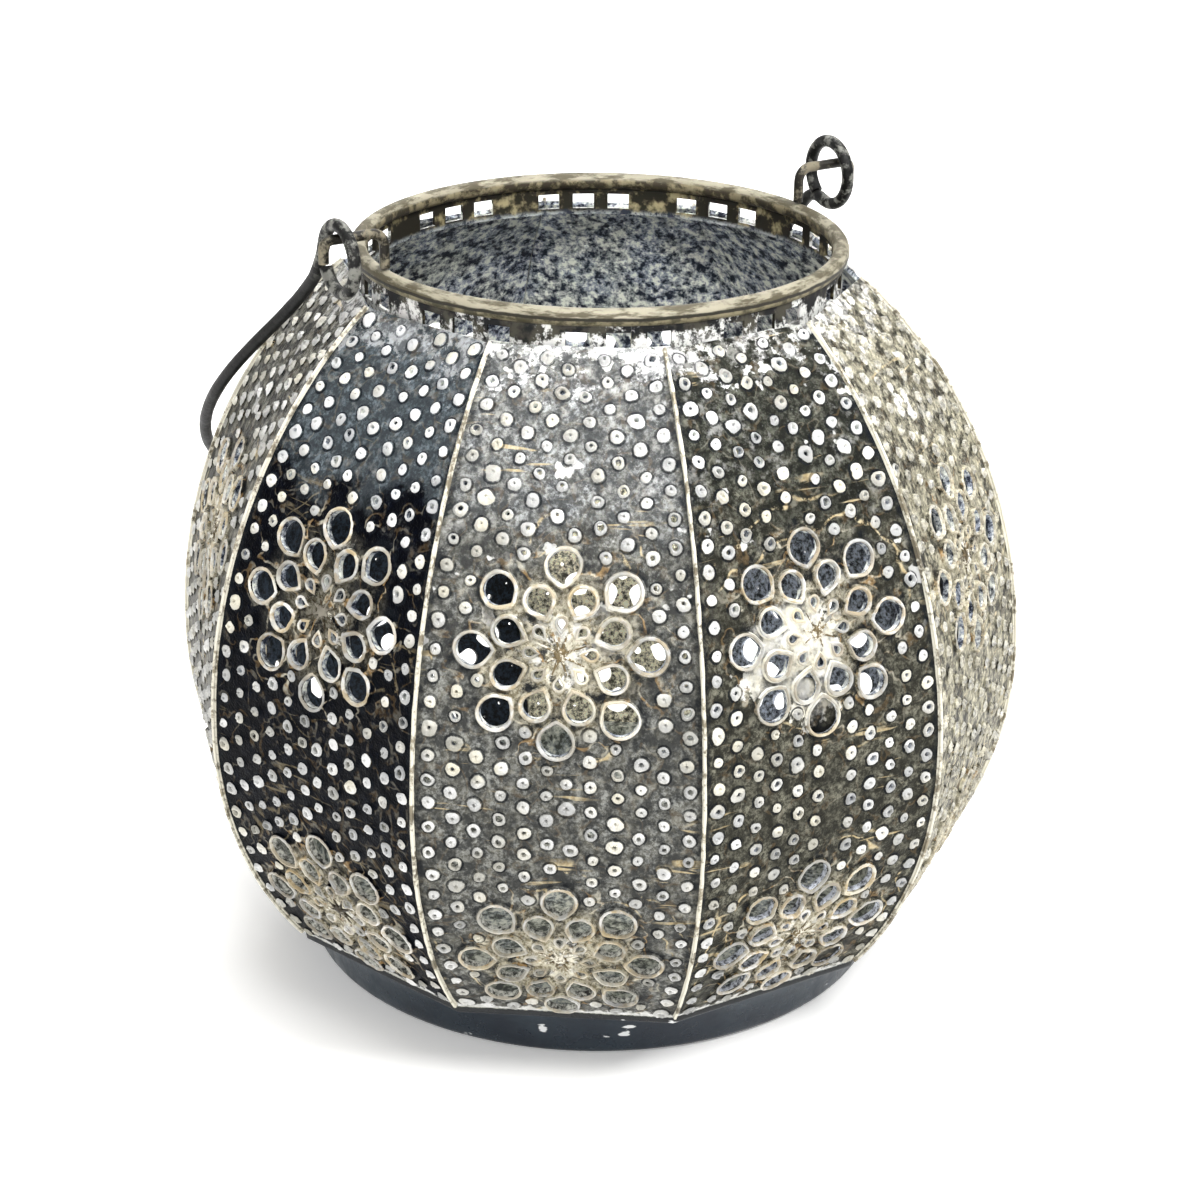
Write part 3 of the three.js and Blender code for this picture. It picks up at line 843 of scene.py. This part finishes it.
def speckled(name, dark, middle, light, low_light_and_shade=False):
    """Bare sheet in heavy continuous speckle, from dark through middle to light."""
    g = Graph(name)
    speckle = g.noise(360, 5, 0.8) * 0.6 + g.noise(1.0, 3, 0.6, g.stretch((520, 520, 260))) * 0.4
    patch = g.noise(75, 4, 0.6)
    bluish = tuple(c * t for c, t in zip(middle, (0.9, 0.95, 1.15)))
    base = g.mix(g.ramp(speckle, 0.43, 0.52), dark, g.mix(g.ramp(patch, 0.4, 0.6), middle, bluish))
    base = g.mix(g.ramp(speckle, 0.5, 0.58), base, light)
    # Low down, each gore's inside takes its own tone: painted shade on the dark ones and painted light on
    # the pale ones
    if low_light_and_shade:
        grit = speckle * 0.4 + g.noise(850, 4, 0.75) * 0.6
        low = g.scaled(g.attribute("inner_tone", "Color"), g.ramp(grit, 0.42, 0.58, 0.1, 1.6))
        base = g.mix(g.ramp(g.height + (patch - 0.5) * 0.04, 0.075, 0.1), low, base)
    return g.surface(base, g.ramp(speckle, 0.3, 0.8, 0.5, 0.8), speckle, 0.6, 0.0008, specular=0.2)


def collar_inside():
    """Brown black round the slots, speckled like the gores below them."""
    g = Graph("collar_inside")
    speckle = g.noise(320, 5, 0.8)
    low = g.mix(g.ramp(speckle, 0.42, 0.6), (0.012, 0.016, 0.026), (0.32, 0.34, 0.33))
    high = g.mix(g.ramp(g.noise(200, 4, 0.6), 0.5, 0.66), (0.012, 0.01, 0.006), (0.26, 0.22, 0.12))
    slot_foot = (COLLAR_TOP - SLOT_TOP_MARGIN - SLOT_HEIGHT) * MM
    change = g.ramp(g.height + (speckle - 0.5) * 0.004, slot_foot - 0.0012, slot_foot)
    return g.surface(g.mix(change, low, high), 0.6, specular=0.2)


def collar_outside():
    """Nearly black under the rim wire as painted shadow of the wire, with torn white wash lower down."""
    g = Graph("collar_outside")
    torn = g.noise(130, 5, 0.7) + g.noise(420, 4, 0.7) * 0.3
    # The wash thins out upwards, leaving painted shadow under the rim wire
    lower = g.ramp(g.height, COLLAR_BOTTOM * MM, COLLAR_TOP * MM, 0.14, -0.14)
    white = g.ramp(torn + lower, 0.55, 0.64) * g.ramp(g.noise(520, 4, 0.75), 0.42, 0.54, 0.12, 0.95)
    under = g.mix(g.ramp(g.noise(240), 0.42, 0.6), (0.008, 0.008, 0.009), (0.05, 0.046, 0.035))
    return g.surface(g.mix(white, under, (0.68, 0.68, 0.65)), 0.65, specular=0.15)


def wash_over(name, under, wash, low, high, scale=160):
    """Dark iron with a worn wash: the wash shows where the noise lies above low."""
    g = Graph(name)
    wear = g.noise(scale, 5, 0.65) + (g.noise(scale * 6, 3) - 0.5) * 0.4
    dressed = 1.0 - g.attribute("bare")
    amount = g.ramp(wear, low, high) * dressed
    iron = g.mix(g.ramp(g.noise(scale * 0.4), 0.4, 0.65), under, tuple(c * 0.55 for c in under))
    return g.surface(g.mix(amount, g.scaled(iron, dressed), wash), g.ramp(amount, 0, 1, 0.4, 0.75), wear,
                    depth=0.0003, metallic=g.ramp(amount, 0, 0.8, 0.6, 0.0))


def handle_material():
    """Black wire whose eyes are rubbed to a grey and cream patina."""
    g = Graph("handle_iron")
    rough = g.noise(260, 5, 0.65)
    base = g.mix(g.ramp(rough, 0.4, 0.6), (0.0015, 0.0015, 0.0015), (0.012, 0.012, 0.0115))
    patina = g.ramp(g.noise(420, 4, 0.6), 0.46, 0.62) * g.attribute("patina")
    return g.surface(g.mix(patina, base, (0.18, 0.18, 0.16)), g.ramp(rough, 0.3, 0.7, 0.4, 0.6), rough,
                    metallic=0.2, specular=0.2)


def rim_material():
    """Lengthwise bands: olive below, a dark line of painted shade, a broad cream top that is partly wash
    and partly painted highlight, and brown on the inner side.
    """
    g = Graph("rim_wash_and_highlight")
    turn = g.attribute("turn") + (g.noise(110, 4, 0.65) - 0.5) * 30
    mottle = g.noise(260, 4, 0.65)
    streaks = g.noise(1.0, 4, 0.65, g.stretch((130, 130, 700)))
    olive = g.mix(g.ramp(mottle, 0.4, 0.6), (0.05, 0.044, 0.024), (0.2, 0.175, 0.105))
    cream = g.mix(g.ramp(streaks, 0.42, 0.58), (0.26, 0.24, 0.178), (0.07, 0.06, 0.035))
    brown = g.mix(g.ramp(mottle, 0.44, 0.6), (0.03, 0.024, 0.014), (0.2, 0.17, 0.1))
    # The dark line is painted shade; the cream band over the top is partly wash and partly painted
    # highlight
    color = g.mix(g.ramp(turn, 74, 80), olive, (0.014, 0.012, 0.007))
    color = g.mix(g.ramp(turn, 94, 104), color, cream)
    color = g.mix(g.ramp(turn, 236, 262), color, brown)
    return g.surface(color, 0.55, g.noise(500, 4, 0.6), 0.4, specular=0.25)


def pan_material():
    """Glossy blue-black enamel, near-black on the upper wall as painted shade under the lip, with pale
    nicks.
    """
    g = Graph("pan_enamel")
    base = g.mix(g.ramp(g.noise(35, 5, 0.6), 0.35, 0.68), (0.008, 0.014, 0.024), (0.022, 0.036, 0.05))
    # Painted shade on the top of the wall, under the lip and the gores' overhang
    painted_shade_under_lip = g.ramp(g.height, (PAN_HEIGHT - 4) * MM, PAN_HEIGHT * MM, 0.0, 0.9)
    base = g.mix(painted_shade_under_lip, base, (0.001, 0.0015, 0.002))
    nicks = g.ramp(g.noise(1.0, 3, 0.5, g.stretch((150, 150, 500))) + g.attribute("nick") * 0.3, 0.72, 0.76)
    return g.surface(g.mix(nicks, base, (0.75, 0.76, 0.76)), g.ramp(g.noise(180, 3), 0.3, 0.7, 0.22, 0.42),
                    g.noise(300), 0.25, metallic=0.25)


GORE_OUTSIDE = gore_outside()
GORE_INSIDE = speckled("gore_inside", (0.012, 0.016, 0.03), (0.36, 0.38, 0.38), (0.88, 0.9, 0.82), True)
PAN_INSIDE = speckled("pan_inside", (0.08, 0.085, 0.075), (0.42, 0.43, 0.35), (0.78, 0.78, 0.68))
COLLAR_INSIDE = collar_inside()
BOSS_WASH = wash_over("boss_wash", (0.16, 0.12, 0.06), (0.7, 0.66, 0.55), 0.48, 0.56, scale=320)
SEAM_WASH = wash_over("seam_wash", (0.27, 0.235, 0.165), (0.7, 0.67, 0.56), 0.37, 0.52, scale=200)
COLLAR_WASH_AND_SHADOW = collar_outside()
HANDLE_IRON = handle_material()
EAR_WASH = wash_over("ear_wash", (0.02, 0.018, 0.014), (0.15, 0.13, 0.085), 0.46, 0.6)
RIM_WASH_AND_HIGHLIGHT = rim_material()
PAN_ENAMEL = pan_material()


# Pieces round the gores
def seam_line(turn, lift, sway, rng):
    """Points up a seam, at a distance from its curve, that sway a little sideways."""
    steps = 70
    foot = angle_at(1.0)
    points = []
    for step in range(steps + 1):
        place = on_curve(foot + (TOP_ANGLE - foot) * step / steps, 1, lift)
        points.append(turned(place.x, rng.uniform(-sway, sway), place.y, turn))
    return points


def make_seam(index):
    turn = index * GORE_ANGLE
    rng = random.Random(300 + index)
    wire = seam_line(turn, SEAM_LIFT, SEAM_SWAY, rng)
    solder = seam_line(turn, -SOLDER_DEPTH, SOLDER_SWAY, rng)
    vertices, faces = joined([
        tube(wire, SEAM_WIRE / 2 * SEAM_SHARE * MM, 10, wobble=0.16, seed=index),
        tube(solder, SOLDER_RADIUS * MM, 8, wobble=0.3, seed=index + 50),
    ])
    number = f"{index + 1:02d}"
    make_object(f"seam_bead_{number}", vertices, faces, BODY, [SEAM_WASH],
                f"seam_wire_{number}", smooth=60)


def make_rim():
    count = 180
    points = [turned(MOUTH_RADIUS, 0, RIM_HEIGHT, 2 * math.pi * i / count) for i in range(count)]
    vertices, faces = tube(points, RIM_WIRE / 2 * WIRE_SHARE * MM, 18, closed=True, wobble=0.015, seed=5)
    obj = make_object("rim_wire_ring", vertices, faces, BODY, [RIM_WASH_AND_HIGHLIGHT], "rim_ring", smooth=60)
    # Way round the wire, from its underside outwards
    turns = [math.atan2(v.z / MM - RIM_HEIGHT, v.xy.length / MM - MOUTH_RADIUS) + math.pi / 2
             for v in vertices]
    float_attribute(obj, "turn", [math.degrees(turn) % 360 for turn in turns])


def make_collar():
    """The band, in columns whose edges fall on the slots' sides, drawn up into the rim wire's underside."""
    pitch = GORE_ANGLE / SLOTS_PER_GORE
    slot_half = math.asin(SLOT_WIDTH / 2 / MOUTH_RADIUS)
    slot_top = COLLAR_TOP - SLOT_TOP_MARGIN
    levels = [COLLAR_BOTTOM, slot_top - SLOT_HEIGHT, slot_top, RIM_HEIGHT - 0.4 * RIM_WIRE]
    columns = []
    for place in range(GORES * SLOTS_PER_GORE):
        centre = place * pitch
        open_here = place % SLOTS_PER_GORE != SOLID_PLACE
        columns += [(centre - slot_half, open_here), (centre, open_here), (centre + slot_half, False),
                    (centre + pitch / 2, False)]
    count = len(columns)
    vertices = [turned(radius, 0, level, angle)
                for radius in (COLLAR_OUTER, COLLAR_INNER) for level in levels for angle, _ in columns]

    def at(wall, level, column):
        return (wall * len(levels) + level) * count + column % count

    faces = []
    for column in range(count):
        opened = columns[column][1]
        for level in range(3):
            if level == 1 and opened:
                continue
            corners = ((level, column), (level, column + 1), (level + 1, column + 1), (level + 1, column))
            faces.append([at(0, *corner) for corner in corners])
            faces.append([at(1, *corner) for corner in reversed(corners)])
        borders = [(0, False), (3, True)]
        if opened:
            borders += [(1, True), (2, False)]
        for level, flip in borders:
            corners = ((1, column), (1, column + 1), (0, column + 1), (0, column))
            face = [at(wall, level, place) for wall, place in corners]
            faces.append(face[::-1] if flip else face)
        if opened != columns[column - 1][1]:
            face = [at(wall, level, column) for wall, level in ((0, 1), (0, 2), (1, 2), (1, 1))]
            faces.append(face if opened else face[::-1])
    obj = make_object("collar_band", vertices, faces, BODY, [COLLAR_WASH_AND_SHADOW, COLLAR_INSIDE],
                      "neck_band", smooth=35)
    inward = [int(p.center.xy.dot(p.normal.xy) < 0) for p in obj.data.polygons]
    obj.data.polygons.foreach_set("material_index", inward)


# Chipped places on the pan's wall: degrees round it, height
PAN_NICKS = [(245.5, 7.5), (229.5, 7.5), (20, 7.5), (75, 3.5), (131, 7.5), (310, 7.5)]


def make_pan():
    lip = on_curve(BOTTOM_ANGLE, FLAT).x
    foot = lip - PAN_FLARE
    wall_top = lip - PAN_LIP
    under = PAN_HEIGHT - PAN_WALL
    lip_top = PAN_HEIGHT + LIP_RISE
    inside = foot - PAN_WALL
    profile = [
        (0, 0), (foot - 2.2, 0), (foot - 1.2, 0.12), (foot - 0.4, 0.5), (foot, 1.3), (foot + 0.35, 3.5),
        (foot + 1.1, 7.5), (wall_top - 0.5, under - 1.0), (wall_top + 0.2, under - 0.25),
        (wall_top + 0.9, under), (lip - 0.4, under), (lip - 0.1, under + 0.3), (lip, PAN_HEIGHT - 0.7),
        (lip - 0.1, lip_top - 0.15), (lip - 0.3, lip_top), (wall_top - PAN_WALL, lip_top),
        (inside, PAN_WALL + 2.2), (inside - 0.6, PAN_WALL + 0.8), (inside - 2.0, PAN_WALL), (0, PAN_WALL),
    ]
    vertices, faces = lathe(profile, 160)
    # The lip's outer part follows the gores' straight lower edges
    for point in vertices:
        if point.z > (under - 0.1) * MM and point.xy.length > (lip - 0.5) * MM:
            stretch = 1 / math.cos(math.atan2(point.y, point.x) % GORE_ANGLE - GORE_ANGLE / 2)
            point.x *= stretch
            point.y *= stretch
    obj = make_object("pan_dish", vertices, faces, BODY, [PAN_ENAMEL, PAN_INSIDE], "base_pan",
                      smooth=40)
    nick = []
    for v in vertices:
        bearing, height = math.degrees(math.atan2(v.y, v.x)) % 360, v.z / MM
        nick.append(max(0.0, *(1 - math.hypot((bearing - b) / 3, (height - h) / 4) for b, h in PAN_NICKS)))
    float_attribute(obj, "nick", nick)
    inward = []
    for polygon in obj.data.polygons:
        place = polygon.center / MM
        faces_up = polygon.normal.z > 0.2 and place.z > PAN_WALL / 2
        inward.append(int(faces_up and (place.xy.length < lip - 1 or place.z > PAN_HEIGHT)))
    obj.data.polygons.foreach_set("material_index", inward)


EAR_TIP = MOUTH_RADIUS + EAR_REACH
EYE_PLACE = EAR_TIP - EAR_TIP_RADIUS - BAIL_WIRE / 2


def arc(centre, first, second, radius, start, end, steps):
    return [centre + first * (radius * math.cos(a)) + second * (radius * math.sin(a))
            for a in (start + (end - start) * i / steps for i in range(steps + 1))]


def bezier(ends, steps):
    """Points from the first to the last of the ends; those between them pull at the line."""
    last = len(ends) - 1
    points = []
    for t in (step / steps for step in range(steps + 1)):
        weights = (math.comb(last, k) * t ** k * (1 - t) ** (last - k) for k in range(last + 1))
        points.append(sum((end * weight for end, weight in zip(ends, weights)), Vector()))
    return points


def make_ear(side, name):
    foot = RIM_HEIGHT + RIM_WIRE / 2 + CLEARANCE
    bend = HINGE.z - EAR_BEND
    points = [Vector((MOUTH_RADIUS, 0, foot + (bend - foot) * step / 4)) for step in range(4)]
    points += arc(Vector((MOUTH_RADIUS + EAR_BEND, 0, bend)), X_AXIS, Z_AXIS,
                  EAR_BEND, math.pi, math.pi / 2, 8)
    points += arc(Vector((EAR_TIP - EAR_TIP_RADIUS, 0, HINGE.z - EAR_TIP_RADIUS)), X_AXIS, Z_AXIS,
                  EAR_TIP_RADIUS, math.pi / 2, 0, 8)
    points += [Vector((EAR_TIP, 0, HINGE.z - EAR_TIP_RADIUS - (EAR_TIP_DROP - EAR_TIP_RADIUS) * step / 3))
               for step in range(1, 4)]
    turn = 0 if side > 0 else math.pi
    placed = [turned(p.x, p.y, p.z, turn) for p in points]
    vertices, faces = tube(placed, EAR_WIRE / 2 * WIRE_SHARE * MM, 14, wobble=0.04, seed=7 + side)
    make_object(f"{name}_hook", vertices, faces, BODY, [EAR_WASH], name, smooth=60)


def make_bail():
    """The right eye is centred on its leg, and the left one hangs lower, beside its own."""
    play = EYE_RADIUS - (BAIL_WIRE + EAR_WIRE) / 2 - CLEARANCE
    neck_centre = play + math.sqrt(EYE_RADIUS ** 2 + 2 * EYE_RADIUS * EYE_NECK)
    bow_centre = BAIL_REACH - BOW_RADIUS
    join = math.atan2(EYE_NECK, neck_centre - play)
    hang = Vector((0, play * math.cos(EYE_HANG), -play * math.sin(EYE_HANG)))

    def leg(side, start, pull):
        run = bow_centre - start.y
        ends = [start, start + pull, Vector((side * BOW_RADIUS, bow_centre - run * BOW_PULL, 0)),
                Vector((side * BOW_RADIUS, bow_centre, 0))]
        return bezier(ends, 24)

    left = Vector((-EYE_PLACE, 0, 0))
    left_eye = arc(left + hang, Y_AXIS, Z_AXIS, EYE_RADIUS, 2 * math.pi + EYE_TIP, EYE_LEAVE, 48)
    bend = Vector((0, math.sin(EYE_LEAVE), -math.cos(EYE_LEAVE)))
    leave = left_eye[-1]
    straight = left + Vector((0, leave.y + EYE_SWAY, 0))
    swayed = bezier([leave, leave + bend * EYE_SWAY * 0.5, straight], 8)
    left_part = left_eye + swayed[1:] + leg(-1, straight, Y_AXIS * LEFT_PULL)[1:]
    right = Vector((EYE_PLACE, 0, 0))
    right_eye = arc(right + Y_AXIS * play, Y_AXIS, Z_AXIS, EYE_RADIUS, -EYE_CLOSE, 2 * math.pi - join, 44)
    right_eye += arc(right + Vector((0, neck_centre, -EYE_NECK)), Y_AXIS, Z_AXIS, EYE_NECK, math.pi - join,
                     math.pi / 2, 8)[1:]
    right_part = right_eye + leg(1, right_eye[-1], Y_AXIS * RIGHT_PULL)[1:]
    bow = arc(Vector((0, bow_centre, 0)), X_AXIS, Y_AXIS, BOW_RADIUS, math.pi, 0, 90)
    route = left_part + bow[1:-1] + list(reversed(right_part))
    fall = math.asin((HINGE.z - BAIL_LOW - BAIL_WIRE / 2) / BAIL_REACH)
    tilt = Matrix.Rotation(-fall, 3, "X")
    placed = [(tilt @ p + HINGE) * MM for p in route]
    sides = 16
    vertices, faces = tube(placed, BAIL_WIRE / 2 * BAIL_SHARE * MM, sides, wobble=0.03, seed=11)
    obj = make_object("bail_wire", vertices, faces, BAIL, [HANDLE_IRON], "bail_handle",
                      smooth=60)
    # The patina is full round the eyes and fades out along the legs
    patina = [min(1.0, max(0.0, 1 - (p.y - PATINA_REACH) / PATINA_FADE)) for p in route]
    float_attribute(obj, "patina", [share for share in patina for _ in range(sides)])


for gore_index in range(GORES):
    make_gore(gore_index)
    make_seam(gore_index)
make_rim()
make_collar()
make_pan()
make_ear(1, "ear_right")
make_ear(-1, "ear_left")
make_bail()


# Studio, in metres
FLOOR_HALF = 3.0
FLOOR_DROP = 0.0003  # below the pan's flat underside
FLOOR_GLOW = 0.22


def make_floor():
    mesh = bpy.data.meshes.new("floor")
    corners = [(x * FLOOR_HALF, y * FLOOR_HALF, -FLOOR_DROP)
               for x, y in ((-1, -1), (1, -1), (1, 1), (-1, 1))]
    mesh.from_pydata(corners, [], [(0, 1, 2, 3)])
    floor = bpy.data.objects.new("floor", mesh)
    bpy.context.scene.collection.objects.link(floor)
    g = Graph("floor_white")
    g.link((1, 1, 1), g.shader.inputs["Emission Color"])
    g.link(FLOOR_GLOW, g.shader.inputs["Emission Strength"])
    mesh.materials.append(g.surface((0.96, 0.955, 0.94), 0.7))


def area_light(name, place, target, size, power, spread=180):
    data = bpy.data.lights.new(name, "AREA")
    data.shape = "DISK"
    data.size = size
    data.energy = power
    data.spread = math.radians(spread)
    light = bpy.data.objects.new(name, data)
    light.location = place
    light.rotation_mode = "QUATERNION"
    light.rotation_quaternion = (Vector(target) - Vector(place)).to_track_quat("-Z", "Y")
    bpy.context.scene.collection.objects.link(light)


# Camera fitted to the photograph's frame of 1200 x 1200 pixels
PHOTO_SIZE = 1200
FOCAL_PIXELS = 2802.5
CAMERA_DISTANCE = 0.6744
CAMERA_AZIMUTH = math.radians(-31.35)
CAMERA_ELEVATION = math.radians(23.51)
CAMERA_ROLL = math.radians(0.56)
AIM = Vector((0, 0, 0.08297))
FRAME_SHIFT = 3.7 / PHOTO_SIZE


def make_camera():
    data = bpy.data.cameras.new("camera")
    data.lens = data.sensor_width * FOCAL_PIXELS / PHOTO_SIZE
    data.shift_x = FRAME_SHIFT
    data.clip_start, data.clip_end = 0.01, 50
    camera = bpy.data.objects.new("camera", data)
    back = Vector((math.sin(CAMERA_AZIMUTH) * math.cos(CAMERA_ELEVATION),
                   -math.cos(CAMERA_AZIMUTH) * math.cos(CAMERA_ELEVATION), math.sin(CAMERA_ELEVATION)))
    camera.rotation_mode = "QUATERNION"
    level = (-back).to_track_quat("-Z", "Y")
    camera.rotation_quaternion = level @ Matrix.Rotation(CAMERA_ROLL, 3, "Z").to_quaternion()
    camera.location = AIM + back * CAMERA_DISTANCE
    bpy.context.scene.collection.objects.link(camera)
    bpy.context.scene.camera = camera


def make_studio():
    world = bpy.data.worlds.new("studio")
    world.use_nodes = True
    background = world.node_tree.nodes["Background"]
    background.inputs["Color"].default_value = (1, 1, 1, 1)
    background.inputs["Strength"].default_value = 0.6
    bpy.context.scene.world = world
    right = Vector((math.cos(CAMERA_AZIMUTH), math.sin(CAMERA_AZIMUTH), 0))
    forward, up = Z_AXIS.cross(right), Z_AXIS
    area_light("key", -forward * 0.4 + right * 0.6 + up * 1.0, AIM, size=0.4, power=11)
    area_light("fill", -forward * 0.9 - right * 0.6 + up * 0.5, AIM, size=0.6, power=2.0)
    area_light("top", up * 1.3 - forward * 0.25, AIM, size=0.7, power=9)
    mouth = Vector((0, 0, RIM_HEIGHT * MM)) + forward * 0.02
    area_light("mouth", mouth + (up * 0.75 - forward * 0.94), mouth, size=0.15, power=0.07, spread=9)
    area_light("backdrop", forward * 1.6 + up * 1.5, forward * 2.2, size=2.0, power=60)


make_floor()
make_camera()
make_studio()
bpy.context.scene.view_settings.view_transform = "Standard"
bpy.context.scene.view_settings.look = "None"
bpy.context.scene.view_settings.exposure = 0.0
